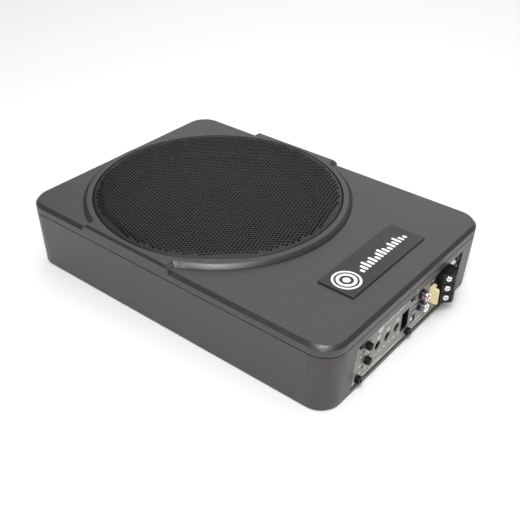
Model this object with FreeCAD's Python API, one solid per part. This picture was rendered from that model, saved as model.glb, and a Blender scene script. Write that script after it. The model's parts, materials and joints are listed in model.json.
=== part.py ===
"""Powered under-seat car subwoofer.

A shallow cast box with a separate top cover holds a 10 inch class woofer behind a round
perforated grille, and a built-in amplifier whose controls and connectors are on the +X end.

Frame: millimetres, +Z up, origin at the centre of the flat underside of the cast box.
+X points to the connector end, and the long sides face -Y and +Y.
"""
import FreeCAD, Part
import math
import os

V = FreeCAD.Vector
UP = V(0, 0, 1)
ALONG_X = V(1, 0, 0)

# ---- driving dimensions of the box ----
LENGTH = 350.0
WIDTH = 250.0
CORNER_R = 22.0
RIM_Z = 57.2                # top edge of the cast lower shell
SEAM = 0.8                  # dark joint between shell and cover, filled by the gasket
LID_Z = 67.5                # flat top of the cover
PAD_RISE = 4.0              # round pad that stands above the flat top
LID_BEVEL = (3.0, 3.3)      # inwards, downwards
DRAFT = 2.8                 # how far each lower wall leans in between rim and floor
FOOT_BEVEL = 1.5
WALL = 3.0
FLOOR = 3.0

COVER_Z = RIM_Z + SEAM
PAD_Z = LID_Z + PAD_RISE
LID_UNDER_Z = LID_Z - WALL

# ---- driver position and the round pad ----
DRIVER_X = -42.3
PAD_R_TOP = 124.2
PAD_R_FOOT = 128.0
PAD_FLUSH = (-95.0, 10.0)   # stretch where the pad runs flush to the long sides
PAD_SIDE_BEVEL = (2.0, 2.2)
GRILLE_POCKET_R = 119.4
GRILLE_SEAT_Z = 62.0
DRIVER_POCKET_R = 117.0
LEDGE_R = 106.0
LEDGE_Z = (51.0, 54.2)
WELL_WALL = 2.2

# ---- grille ----
GRILLE_R = 118.9
GRILLE_SHEET = 1.0
GRILLE_TOP_Z = 75.0
GRILLE_CROWN = 0.6          # rise of the slightly domed middle
GRILLE_FLAT_R = 106.5       # where the middle bends into the sloping band
GRILLE_BAND_TILT = 17.2     # degrees
GRILLE_BEND_R = 16.0
GRILLE_EDGE_R = 2.4         # rounding between the band and the skirt

# ---- woofer ----
FLANGE_R = 116.0
FLANGE_Z = (55.0, 57.5)
MOTOR_Z = 4.5               # underside of the motor
YOKE_T = 5.0
MAGNET_T = 10.0
TOP_PLATE_T = 5.0
YOKE_R = 52.5
MAGNET_R = (30.0, 56.0)
POLE_R = 24.5
POLE_VENT_R = 8.0
GAP_R = 26.9                # bore of the top plate
COIL_FORMER_R = (25.2, 25.5)
COIL_OUTER_R = 26.3
CONE_R = 90.0
CONE_FOLD_R = 86.6          # where the cone turns flat into its rim
CONE_NECK_R = 25.6
CONE_NECK_Z = 44.0
DUST_CAP_R = 38.0
DUST_CAP_RISE = 10.0
ROLL_R = 7.0                # half roll of the surround
ROLL_CENTRE_R = 97.0
SPIDER_Z = 34.2
SPIDER_WAVE_R = (29.0, 64.0)
SPIDER_WAVES = 4
SPIDER_WAVE_HEIGHT = 1.6
SPIDER_RIM_R = 72.8
CLOTH_T = 0.7               # spider and surround
CONE_T = 1.2
COIL_FOOT_Z = 16.5
WINDING_Z = (17.5, 27.0)
BASKET_ARMS = 6
BASKET_SHELF_R = (64.0, 73.5)
BASKET_SHEET = 2.2
BASKET_WINDOW_R = (79.0, 97.0)
BASKET_WINDOW_HALF_ANGLE = 18.0
BASKET_COLLAR_R = 34.0      # hole over the magnet gap
WOOFER_SCREWS = 8
WOOFER_SCREW_R = 112.5      # radius of the screw circle on the flange
WOOFER_SCREW_HOLE_R = 2.1
WOOFER_LUG_Y = (-6.0, 6.0)
WOOFER_LUG_Z = (44.0, 44.8)
WOOFER_LUG_TIP_X = 64.7
LEAD_R = 1.1

MAGNET_Z = MOTOR_Z + YOKE_T
TOP_PLATE_Z = MAGNET_Z + MAGNET_T
BASKET_FOOT_Z = TOP_PLATE_Z + TOP_PLATE_T

# ---- badge ----
BADGE_X = (113.7, 149.3)
BADGE_HALF_Y = 57.75
BADGE_TAPE = 0.3
BADGE_T = 0.9

# ---- control panel on the +X end ----
PANEL_X = 171.5             # outer face of the panel
PANEL_T = 1.5
OPENING_HALF_Y = 87.6
OPENING_Z = (5.3, 49.5)
PANEL_GAP = 0.3
PAN_SCREW_Y = (-76.8, 3.1, 83.0)
PAN_SCREW_Z = 44.0
PAN_HEAD = (3.2, 1.9)       # radius, height
CAP_SCREW_Y = (-79.5, -0.7, 78.1)
CAP_SCREW_Z = 11.3
CAP_HEAD = (3.5, 4.4)       # radius, height
CAP_SOCKET_R = 1.75
CAP_SOCKET_FLOOR = 2.2      # above the seat of the head

POT_Y = (-49.5, -34.5, -19.5)
POT_NAMES = ("gain", "crossover", "boost")
POT_Z = 26.2
POT_HOLE_R = 4.4
POT_SHAFT_R = 2.6
POT_BUSH_R = 3.8
POT_SHAFT_X = (156.2, 166.6)

SLIDE_Y = -67.9
SLIDE_Z = (39.0, 23.8)
SLIDE_NAMES = ("phase", "source")
SLIDE_TRAVEL = 4.0
SLIDE_SLOT_HALF = (2.2, 1.7)     # slot in the panel, in y and z
SLIDE_GRIP_HALF = 3.0
SLIDE_GRIP_X = (PANEL_X + 0.2, PANEL_X + 4.8)
LED_Y = -71.6
LED_Z = (34.3, 18.2)
LED_R = 1.5

JACK_Y = (-12.0, 0.5)
JACK_Z = (15.8, 36.3)

RANGE_SWITCH_Y = (4.6, 13.0)
RANGE_SWITCH_Z = (14.8, 22.0)
RANGE_TRAVEL = 3.0

RCA_Y = 19.5
RCA_Z = (39.0, 27.0)
RCA_REACH = 7.0             # how far the sockets stand out of the panel
RCA_SHELL_R = (3.35, 4.15)  # inside, outside
RCA_NECK_R = 3.85           # outside of the shell where it runs inside the housing
RCA_COLLAR = 2.6            # how far the collar round each shell stands out
RCA_COLLAR_R = 4.9
RCA_REAR_X = 160.0
RCA_PIN_HOLE_R = 1.65

HEADER_Y = (35.2, 42.6)
HEADER_Z = (21.6, 37.4)
HEADER_PINS = 4
HEADER_PITCH = 3.96
HEADER_PIN_Y = (HEADER_Y[0] + 4.4, HEADER_Y[0] + 5.6)
HEADER_BASE_X = PANEL_X + 3.0
HEADER_WALL_X = PANEL_X + 9.0
HEADER_WALL = 1.8

BLOCK_Y = (47.3, 66.7)
BLOCK_Z = (15.5, 46.5)
BLOCK_SIDE_X = 177.5        # where the side walls turn into the 45 degree faces
BLOCK_NOSE_X = 185.3
BLOCK_REAR_X = 162.0
WAYS = 3
SCREW_PITCH = 0.8
SCREW_TURNS = 2

# ---- circuit board ----
BOARD_X = (84.0, 160.0)
BOARD_HALF_Y = 84.0
BOARD_Z = (14.0, 15.6)
BOARD_SCREW_XY = ((90.0, 76.0), (90.0, -76.0), (148.0, 76.0), (148.0, -76.0))
CAPACITOR_CANS = (          # x, y, radius, height
    (102.0, -62.0, 9.0, 32.0),
    (102.0, -40.0, 9.0, 32.0),
    (104.0, 62.0, 6.3, 20.0),
    (120.0, 62.0, 6.3, 20.0),
    (104.0, 30.0, 5.0, 12.0),
)
CHOKE_X = 104.0
CHOKE_R = (8.0, 15.0)
CHOKE_HEIGHT = 11.0
CORE_X = (125.0, 137.0)
CORE_Y = (-24.0, 12.0)
CORE_HEIGHT = 24.0
BOBBIN_MARGIN = (4.5, 7.0, 3.0)     # past the core in x, inside it in y and z
HEATSINK_X = (142.0, 146.0)
HEATSINK_Y = (-72.0, -26.0)
HEATSINK_HEIGHT = 26.0
TRANSISTORS = 4
TRANSISTOR_PITCH = 11.5

# ---- fasteners of the box ----
LID_SCREW_XY = [(sx * 161.5, sy * 111.5) for sx in (-1, 1) for sy in (-1, 1)]
LID_SCREW_XY += [(x, sy * 112.0) for x in (-132.0, 62.0) for sy in (-1, 1)]
LID_SCREW_R = 2.0
LID_HEAD_R = 3.5
LID_COLUMN_R = 5.0
BRACKET_POST_R = 6.0
BOARD_POST_R = 4.0
PANEL_LUG = (8.0, 8.0, 3.8)     # depth, width, half height
BRACKET_XY = [(sx * 120.0, sy * 90.0) for sx in (-1, 1) for sy in (-1, 1)]
BRACKET_HOLE_R = 2.1        # core hole of an M5 thread
BRACKET_DEPTH = 8.0


# ---- small helpers ----
def block(x, y, z):
    """Box from three (low, high) pairs."""
    return Part.makeBox(x[1] - x[0], y[1] - y[0], z[1] - z[0], V(x[0], y[0], z[0]))


def widened(span, margin):
    """(low, high) pair moved outwards by a margin at both ends."""
    return (span[0] - margin, span[1] + margin)


def rod(radius, start, direction, length):
    return Part.makeCylinder(radius, length, start, direction)


def tube(outer, inner, start, direction, length):
    return rod(outer, start, direction, length).cut(rod(inner, start, direction, length))


def fused(shapes):
    shapes = list(shapes)
    return shapes[0].multiFuse(shapes[1:]).removeSplitter() if len(shapes) > 1 else shapes[0]


def group(shapes):
    return Part.makeCompound(list(shapes))


def outline(inset, z):
    """Rounded rectangle of the box, moved inwards by inset, as a closed wire at height z."""
    hx = LENGTH / 2 - inset
    hy = WIDTH / 2 - inset
    r = CORNER_R - inset
    k = r * (1 - math.sqrt(0.5))
    edges = []
    corners = ((1, 1), (-1, 1), (-1, -1), (1, -1))
    for i, (sx, sy) in enumerate(corners):
        side_x = V(sx * hx, sy * (hy - r), z)
        side_y = V(sx * (hx - r), sy * hy, z)
        middle = V(sx * (hx - k), sy * (hy - k), z)
        first, last = (side_x, side_y) if i % 2 == 0 else (side_y, side_x)
        edges.append(Part.Arc(first, middle, last).toShape())
    joined = []
    for i, arc in enumerate(edges):
        joined.append(arc)
        start = arc.valueAt(arc.LastParameter)
        after = edges[(i + 1) % 4]
        joined.append(Part.LineSegment(start, after.valueAt(after.FirstParameter)).toShape())
    return Part.Wire(joined)


def slab(low, high):
    """Solid between two box outlines, each given as (inset, z)."""
    return Part.makeLoft([outline(*low), outline(*high)], True, True)


def turned(edges_or_points, centre=DRIVER_X):
    """Solid of revolution about the vertical axis at x = centre.

    The section is a list of (r, z) points, where a triple of such points is an arc.
    """
    def at(point):
        return V(centre + point[0], 0, point[1])

    edges = []
    here = None
    first = None
    for item in edges_or_points:
        if isinstance(item[0], tuple):
            start, middle, end = item
        else:
            start, middle, end = item, None, item
        if first is None:
            first = start
        if here is not None and here != start:
            edges.append(Part.LineSegment(at(here), at(start)).toShape())
        if middle is not None:
            edges.append(Part.Arc(at(start), at(middle), at(end)).toShape())
        here = end
    if here != first:
        edges.append(Part.LineSegment(at(here), at(first)).toShape())
    face = Part.Face(Part.Wire(edges))
    return face.revolve(V(centre, 0, 0), UP, 360)


def dome(radius, rim_z, rise, thick):
    """Outer and inner arcs of a shallow dome centred on the axis, as triples for turned()."""
    ball = (radius ** 2 + rise ** 2) / (2 * rise)
    low = rim_z + rise - ball
    outer_mid = (radius / 2, low + math.sqrt(ball ** 2 - radius ** 2 / 4))
    outer = ((radius, rim_z), outer_mid, (0.0, rim_z + rise))
    shrink = (ball - thick) / ball
    inner = tuple((r * shrink, low + (z - low) * shrink) for r, z in reversed(outer))
    return outer, inner


def prism_xy(points, z):
    """Upright prism from (x, y) points between the two heights in z."""
    corners = [V(x, y, z[0]) for x, y in points]
    face = Part.Face(Part.makePolygon(corners + corners[:1]))
    return face.extrude(V(0, 0, z[1] - z[0]))


def route(points, radius):
    """Tube along straight runs joined by tangent arcs."""
    nodes = [V(*p) for p in points]
    edges = []
    here = nodes[0]
    for before, corner, after in zip(nodes, nodes[1:], nodes[2:]):
        inward = (before - corner).normalize()
        onward = (after - corner).normalize()
        reach = 0.45 * min((before - corner).Length, (after - corner).Length)
        half_turn = (math.pi - inward.getAngle(onward)) / 2
        bend = reach / math.tan(half_turn)
        start = corner + inward * reach
        end = corner + onward * reach
        to_centre = (inward + onward).normalize()
        middle = corner + to_centre * (bend / math.cos(half_turn) - bend)
        edges.append(Part.LineSegment(here, start).toShape())
        edges.append(Part.Arc(start, middle, end).toShape())
        here = end
    edges.append(Part.LineSegment(here, nodes[-1]).toShape())
    spine = Part.Wire(edges)
    section = Part.Wire(Part.makeCircle(radius, nodes[0], nodes[1] - nodes[0]))
    return spine.makePipeShell([section], True, False)


def pan_screw(start, direction, head_r, head_h, shank_r, shank_l):
    """Domed screw: start is the plane under the head, direction points out of the head."""
    head = rod(head_r, start, direction, head_h)
    top = [e for e in head.Edges if e.isClosed() and (e.CenterOfMass - start).dot(direction) > head_h / 2]
    head = head.makeFillet(head_h * 0.45, top)
    shank = rod(shank_r, start - direction * shank_l, direction, shank_l)
    return head.fuse(shank)


def cross_recess(screw, tip, direction, size, depth):
    """Phillips style recess cut into a screw at the point tip on its outer face."""
    side = direction.cross(UP)
    if side.Length < 0.5:
        side = direction.cross(ALONG_X)
    side.normalize()
    other = direction.cross(side)
    for a, b in ((side, other), (other, side)):
        corner = tip - a * (size / 2) - b * (size / 9) - direction * depth
        across = b * (size / 4.5)
        corners = [corner, corner + a * size, corner + a * size + across, corner + across]
        face = Part.Face(Part.makePolygon(corners + corners[:1]))
        screw = screw.cut(face.extrude(direction * (depth + 1)))
    return screw


# ---- box ----
def outer_lower():
    bottom = slab((DRAFT + FOOT_BEVEL, 0.0), (DRAFT, FOOT_BEVEL))
    walls = slab((DRAFT, FOOT_BEVEL), (0.0, RIM_Z))
    return bottom.fuse(walls).removeSplitter()


def lid_column(x, y, outer):
    """Tube that carries one cover screw, with a web that ties it to the nearest wall or corner."""
    column = rod(LID_COLUMN_R, V(x, y, 1.0), UP, RIM_Z - 1.0)
    in_corner = abs(x) > LENGTH / 2 - CORNER_R
    angle = math.degrees(math.atan2(y, math.copysign(y, x))) if in_corner else math.copysign(90, y)
    web = block((0.0, 2 * LID_COLUMN_R), (-1.5, 1.5), (1.0, RIM_Z))
    web.rotate(V(0, 0, 0), UP, angle)
    web.translate(V(x, y, 0))
    return column.fuse(web).common(outer)


def lower_shell():
    outer = outer_lower()
    inner = slab((DRAFT + WALL, FLOOR), (WALL, RIM_Z + 0.01))
    shell = outer.cut(inner)
    posts = [lid_column(x, y, outer) for x, y in LID_SCREW_XY]
    posts += [rod(BRACKET_POST_R, V(x, y, 1.0), UP, BRACKET_DEPTH + 1.0) for x, y in BRACKET_XY]
    posts += [rod(BOARD_POST_R, V(x, y, 1.0), UP, BOARD_Z[0] - 1.0) for x, y in BOARD_SCREW_XY]
    panel_back = PANEL_X - PANEL_T
    depth, width, half_height = PANEL_LUG
    lug_x = (panel_back - depth, panel_back)
    wall_x = (panel_back - depth, panel_back + WALL)
    lug_top = RIM_Z - 1.2
    lugs = []
    for screw_y in CAP_SCREW_Y:
        y = (screw_y - width / 2, screw_y + width / 2)
        lugs.append(block(lug_x, y, (1.0, CAP_SCREW_Z + half_height)))
    for screw_y in PAN_SCREW_Y:
        y = (screw_y - width / 2, screw_y + width / 2)
        lugs.append(block(lug_x, y, (PAN_SCREW_Z - half_height, lug_top)))
        lugs.append(block(wall_x, y, (OPENING_Z[1] + 0.5, lug_top)))
    lugs = fused(lugs)
    opening = block((panel_back - 12, LENGTH), (-OPENING_HALF_Y, OPENING_HALF_Y), OPENING_Z)
    shell = fused([shell.cut(opening), lugs] + posts)
    cuts = []
    for x, y in LID_SCREW_XY:
        cuts.append(rod(LID_SCREW_R + 0.2, V(x, y, -1), UP, RIM_Z + 2))
        cuts.append(rod(LID_HEAD_R + 0.2, V(x, y, -1), UP, 3.4))
    for x, y in BRACKET_XY:
        cuts.append(rod(BRACKET_HOLE_R, V(x, y, -1), UP, BRACKET_DEPTH + 1))
    for x, y in BOARD_SCREW_XY:
        cuts.append(rod(1.3, V(x, y, BOARD_Z[0] - 8), UP, 9))
    cuts += [rod(1.55, V(panel_back - 7, y, PAN_SCREW_Z), ALONG_X, 8) for y in PAN_SCREW_Y]
    cuts += [rod(2.05, V(panel_back - 7, y, CAP_SCREW_Z), ALONG_X, 8) for y in CAP_SCREW_Y]
    return shell.cut(fused(cuts))


def pad_solid():
    """Round pad with a sloped rim, flush with both long sides over its middle stretch."""
    half = WIDTH / 2
    disc = Part.makeCone(PAD_R_FOOT, PAD_R_TOP, PAD_RISE, V(DRIVER_X, 0, LID_Z), UP)
    disc = disc.common(block((-LENGTH, LENGTH), (-half + 2, half - 2), (0, 100)))
    low = LID_Z - LID_BEVEL[1]
    side = [(-half, low), (-half, PAD_Z - PAD_SIDE_BEVEL[1]), (-half + PAD_SIDE_BEVEL[0], PAD_Z)]
    side += [(-y, z) for y, z in reversed(side)]
    corners = [V(PAD_FLUSH[0], y, z) for y, z in side]
    bar = Part.Face(Part.makePolygon(corners + corners[:1])).extrude(V(PAD_FLUSH[1] - PAD_FLUSH[0], 0, 0))
    for x, inward in ((PAD_FLUSH[0], 1), (PAD_FLUSH[1], -1)):
        wedge = [V(x - inward, -half - 1, LID_Z - 1)]
        wedge.append(V(x - inward, -half - 1, PAD_Z + 1))
        wedge.append(V(x + inward * (PAD_RISE + 1), -half - 1, PAD_Z + 1))
        bar = bar.cut(Part.Face(Part.makePolygon(wedge + wedge[:1])).extrude(V(0, WIDTH + 2, 0)))
    return disc.fuse(bar)


def top_cover():
    skirt = slab((0.0, COVER_Z), (0.0, LID_Z - LID_BEVEL[1]))
    bevel = slab((0.0, LID_Z - LID_BEVEL[1]), (LID_BEVEL[0], LID_Z))
    cover = fused([skirt, bevel, pad_solid()])
    cover = cover.cut(slab((WALL, COVER_Z - 0.01), (WALL, LID_UNDER_Z)))
    centre = V(DRIVER_X, 0, 0)
    extras = [rod(GRILLE_POCKET_R + 2.8, centre + UP * (COVER_Z + 0.3), UP, LID_UNDER_Z - COVER_Z)]
    extras.append(rod(DRIVER_POCKET_R + WELL_WALL, centre + UP * LEDGE_Z[0], UP, GRILLE_SEAT_Z - LEDGE_Z[0]))
    extras += [rod(LID_COLUMN_R, V(x, y, COVER_Z), UP, LID_UNDER_Z - COVER_Z) for x, y in LID_SCREW_XY]
    cover = fused([cover] + extras)
    groove = tube(PAD_R_FOOT + 0.6, PAD_R_FOOT - 0.1, centre + UP * (LID_Z - 0.5), UP, 0.55)
    groove = groove.common(block((-LENGTH, LENGTH), (-114, 114), (0, 100)))
    cuts = [rod(GRILLE_POCKET_R, centre + UP * GRILLE_SEAT_Z, UP, 20)]
    cuts.append(rod(DRIVER_POCKET_R, centre + UP * LEDGE_Z[1], UP, 20))
    cuts.append(rod(LEDGE_R, centre + UP * (LEDGE_Z[0] - 1), UP, 20))
    cuts.append(groove)
    for x, y in LID_SCREW_XY:
        cuts.append(rod(LID_SCREW_R + 0.05, V(x, y, COVER_Z - 1), UP, 6.5))
    for point in circle_points(WOOFER_SCREWS, WOOFER_SCREW_R, LEDGE_Z[0] - 1):
        cuts.append(rod(1.75, point, UP, 6))
    return cover.cut(fused(cuts))


def circle_points(count, radius, z):
    """Points on a circle about the driver's axis, the first one half a step from +X."""
    angles = [2 * math.pi * (i + 0.5) / count for i in range(count)]
    return [V(DRIVER_X + radius * math.cos(a), radius * math.sin(a), z) for a in angles]


def lid_gasket():
    return slab((1.0, RIM_Z), (1.0, COVER_Z)).cut(slab((2.6, RIM_Z - 1), (2.6, COVER_Z + 1)))


def lid_screws():
    screws = []
    for x, y in LID_SCREW_XY:
        screw = pan_screw(V(x, y, 2.4), -UP, LID_HEAD_R, 2.0, LID_SCREW_R, 60.0)
        screws.append(cross_recess(screw, V(x, y, 0.4), -UP, 3.6, 1.2))
    return group(screws)


# ---- grille and badge ----
def on_arc(centre, radius, angle):
    """Point at an angle in degrees from straight up, towards +r."""
    a = math.radians(angle)
    return (centre[0] + radius * math.sin(a), centre[1] + radius * math.cos(a))


def grille_line(inset):
    """Section of one face of the sheet, from the apex down to the seat.

    A shallow dome bends into a sloping band, whose rounded edge turns down into the skirt.
    Inset is the distance in from the outer face.
    """
    ball = (GRILLE_FLAT_R ** 2 + GRILLE_CROWN ** 2) / (2 * GRILLE_CROWN)
    ball_centre = (0.0, GRILLE_TOP_Z - ball)
    dome_end = math.degrees(math.asin(GRILLE_FLAT_R / ball))
    tilt = GRILLE_BAND_TILT
    bend_centre = on_arc(ball_centre, ball - GRILLE_BEND_R, dome_end)
    band_r, band_z = on_arc(bend_centre, GRILLE_BEND_R, tilt)
    edge_centre_r = GRILLE_R - GRILLE_EDGE_R
    edge_r = edge_centre_r + GRILLE_EDGE_R * math.sin(math.radians(tilt))
    edge_z = band_z - (edge_r - band_r) * math.tan(math.radians(tilt))
    edge_centre = (edge_centre_r, edge_z - GRILLE_EDGE_R * math.cos(math.radians(tilt)))
    apex = (0.0, GRILLE_TOP_Z - inset)
    flat_end = on_arc(ball_centre, ball - inset, dome_end)
    band_start = on_arc(bend_centre, GRILLE_BEND_R - inset, tilt)
    band_end = on_arc(edge_centre, GRILLE_EDGE_R - inset, tilt)
    skirt_top = (GRILLE_R - inset, edge_centre[1])
    return [
        (apex, on_arc(ball_centre, ball - inset, dome_end / 2), flat_end),
        (flat_end, on_arc(bend_centre, GRILLE_BEND_R - inset, (dome_end + tilt) / 2), band_start),
        band_end,
        (band_end, on_arc(edge_centre, GRILLE_EDGE_R - inset, (90 + tilt) / 2), skirt_top),
        (GRILLE_R - inset, GRILLE_SEAT_Z),
    ]


def backwards(section):
    return [item[::-1] if isinstance(item[0], tuple) else item for item in reversed(section)]


def grille():
    """Pressed steel disc whose skirt stands on the seat of the cover."""
    return turned(backwards(grille_line(0.0)) + grille_line(GRILLE_SHEET))


def badge_tape():
    z = (LID_Z, LID_Z + BADGE_TAPE)
    return block((BADGE_X[0] + 1, BADGE_X[1] - 1), (-BADGE_HALF_Y + 1, BADGE_HALF_Y - 1), z)


def badge_plate():
    z = (LID_Z + BADGE_TAPE, LID_Z + BADGE_TAPE + BADGE_T)
    plate = block(BADGE_X, (-BADGE_HALF_Y, BADGE_HALF_Y), z)
    upright = [e for e in plate.Edges if abs(e.tangentAt(e.FirstParameter).z) > 0.9]
    plate = plate.makeFillet(0.8, upright)
    rim = [e for e in plate.Edges if e.BoundBox.ZMin > z[1] - 0.01]
    return plate.makeChamfer(0.3, rim)


# ---- woofer ----
def basket_wall(r):
    """Height of the underside of the basket's arms at radius r."""
    start_r, start_z = BASKET_SHELF_R[1] + BASKET_SHEET, SPIDER_Z + 0.4
    return start_z + (FLANGE_Z[0] - start_z) * (r - start_r) / (LEDGE_R - start_r)


def woofer_basket():
    t = BASKET_SHEET
    foot = BASKET_FOOT_Z
    shelf_in, shelf_out = BASKET_SHELF_R
    under_shelf = SPIDER_Z - t
    section = [
        (FLANGE_R, FLANGE_Z[0]), (FLANGE_R, FLANGE_Z[1]), (LEDGE_R - 2, FLANGE_Z[1]),
        (shelf_out, SPIDER_Z + 1.8), (shelf_out, SPIDER_Z), (shelf_in, SPIDER_Z), (shelf_in - 10, foot + t),
        (BASKET_COLLAR_R, foot + t), (BASKET_COLLAR_R, foot), (shelf_in - 9, foot),
        (shelf_in + 1.2, under_shelf), (shelf_out + t, under_shelf),
        (shelf_out + t, basket_wall(shelf_out + t)), (LEDGE_R, FLANGE_Z[0]),
    ]
    basket = turned(section)
    step = 360.0 / BASKET_ARMS
    spread = 130 * math.tan(math.radians(BASKET_WINDOW_HALF_ANGLE))
    wedge = prism_xy([(0, 0), (130, -spread), (130, spread)], (30.0, 56.0))
    ring = tube(BASKET_WINDOW_R[1], BASKET_WINDOW_R[0], V(0, 0, 30), UP, 26)
    cuts = []
    for i in range(BASKET_ARMS):
        window = wedge.common(ring)
        window.rotate(V(0, 0, 0), UP, step * (i + 0.5))
        window.translate(V(DRIVER_X, 0, 0))
        cuts.append(window)
    for point in circle_points(WOOFER_SCREWS, WOOFER_SCREW_R, FLANGE_Z[0] - 1):
        cuts.append(rod(WOOFER_SCREW_HOLE_R, point, UP, 5))
    return basket.cut(fused(cuts))


def woofer_gasket():
    ring = tube(FLANGE_R, LEDGE_R + 0.5, V(DRIVER_X, 0, LEDGE_Z[1]), UP, FLANGE_Z[0] - LEDGE_Z[1])
    points = circle_points(WOOFER_SCREWS, WOOFER_SCREW_R, LEDGE_Z[1] - 1)
    return ring.cut(fused(rod(WOOFER_SCREW_HOLE_R, point, UP, 5) for point in points))


def woofer_screws():
    screws = []
    for point in circle_points(WOOFER_SCREWS, WOOFER_SCREW_R, FLANGE_Z[1]):
        screw = pan_screw(point, UP, 3.4, 2.2, 1.7, FLANGE_Z[1] - LEDGE_Z[0])
        screws.append(cross_recess(screw, point + UP * 2.2, UP, 3.2, 1.2))
    return group(screws)


def surround():
    """Half roll between the cone's rim and the flange."""
    z = FLANGE_Z[1]
    c = ROLL_CENTRE_R
    inner = ROLL_R - CLOTH_T / 2
    outer = ROLL_R + CLOTH_T / 2
    lip = CONE_R - 3.2
    rim = c + inner + 4.6
    section = [
        (lip, z),
        ((c - inner, z), (c, z + inner), (c + inner, z)),
        (rim, z), (rim, z + CLOTH_T),
        ((c + outer, z + CLOTH_T), (c, z + CLOTH_T + outer), (c - outer, z + CLOTH_T)),
        (lip, z + CLOTH_T),
    ]
    return turned(section)


def cone_top(r):
    """Height of the cone's upper face at radius r."""
    low = CONE_NECK_Z + CONE_T
    return low + (FLANGE_Z[1] - low) * (r - CONE_NECK_R) / (CONE_FOLD_R - CONE_NECK_R)


def cone():
    rim = FLANGE_Z[1]
    section = [
        (CONE_NECK_R, CONE_NECK_Z), (CONE_FOLD_R + 0.4, rim - 1.1), (CONE_R, rim - 1.1), (CONE_R, rim),
        (CONE_FOLD_R, rim), (CONE_NECK_R, CONE_NECK_Z + CONE_T),
    ]
    return turned(section)


def dust_cap():
    """Domed cap whose rim is cut across the sheet and stands on the cone."""
    thick = 0.8
    lift = 0.65
    return turned(dome(DUST_CAP_R, cone_top(DUST_CAP_R) + lift, DUST_CAP_RISE, thick))


def voice_coil_former():
    length = CONE_NECK_Z + CONE_T - COIL_FOOT_Z
    return tube(COIL_FORMER_R[1], COIL_FORMER_R[0], V(DRIVER_X, 0, COIL_FOOT_Z), UP, length)


def voice_coil_winding():
    length = WINDING_Z[1] - WINDING_Z[0]
    return tube(COIL_OUTER_R, COIL_FORMER_R[1], V(DRIVER_X, 0, WINDING_Z[0]), UP, length)


def spider():
    """Corrugated cloth disc between the coil former and the basket's shelf."""
    start, end = SPIDER_WAVE_R
    steps = SPIDER_WAVES * 10
    wave = []
    for i in range(steps + 1):
        phase = 2 * math.pi * SPIDER_WAVES * i / steps
        wave.append((start + (end - start) * i / steps, SPIDER_Z - SPIDER_WAVE_HEIGHT * math.sin(phase)))
    low = [(COIL_FORMER_R[1] + 0.05, SPIDER_Z)] + wave + [(SPIDER_RIM_R, SPIDER_Z)]
    high = [(r, z + CLOTH_T) for r, z in reversed(low)]
    return turned(low + high)


def top_plate():
    return tube(YOKE_R, GAP_R, V(DRIVER_X, 0, TOP_PLATE_Z), UP, TOP_PLATE_T)


def magnet():
    return tube(MAGNET_R[1], MAGNET_R[0], V(DRIVER_X, 0, MAGNET_Z), UP, MAGNET_T)


def pole_yoke():
    section = [
        (POLE_VENT_R, MOTOR_Z), (YOKE_R, MOTOR_Z), (YOKE_R, MAGNET_Z), (POLE_R, MAGNET_Z),
        (POLE_R, BASKET_FOOT_Z + 0.5), (POLE_VENT_R, BASKET_FOOT_Z + 0.5),
    ]
    return turned(section)


def woofer_terminals():
    """Moulded carrier under one basket arm, with the two solder lugs that it holds."""
    inner_r, outer_r, foot_z, half_y = 88.0, 99.0, 40.0, 10.0
    section = [(r, basket_wall(r)) for r in (inner_r, outer_r)]
    section += [(outer_r, foot_z), (inner_r, foot_z)]
    corners = [V(DRIVER_X + r, -half_y, z) for r, z in section]
    carrier = Part.Face(Part.makePolygon(corners + corners[:1])).extrude(V(0, 2 * half_y, 0))
    lug_x = (DRIVER_X + outer_r - 4, WOOFER_LUG_TIP_X)
    lugs = [block(lug_x, (y - 2.4, y + 2.4), WOOFER_LUG_Z) for y in WOOFER_LUG_Y]
    return carrier.fuse(fused(lugs))


def speaker_leads():
    """Insulated wires from the woofer's lugs down to the board."""
    lug_z = sum(WOOFER_LUG_Z) / 2
    board_x = BOARD_X[0] + 4
    leads = []
    for y in WOOFER_LUG_Y:
        points = [(WOOFER_LUG_TIP_X, y, lug_z), (WOOFER_LUG_TIP_X + 14, y, lug_z)]
        points += [(board_x, y, 32.0), (board_x, y, BOARD_Z[1])]
        leads.append(route(points, LEAD_R))
    return group(leads)


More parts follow.
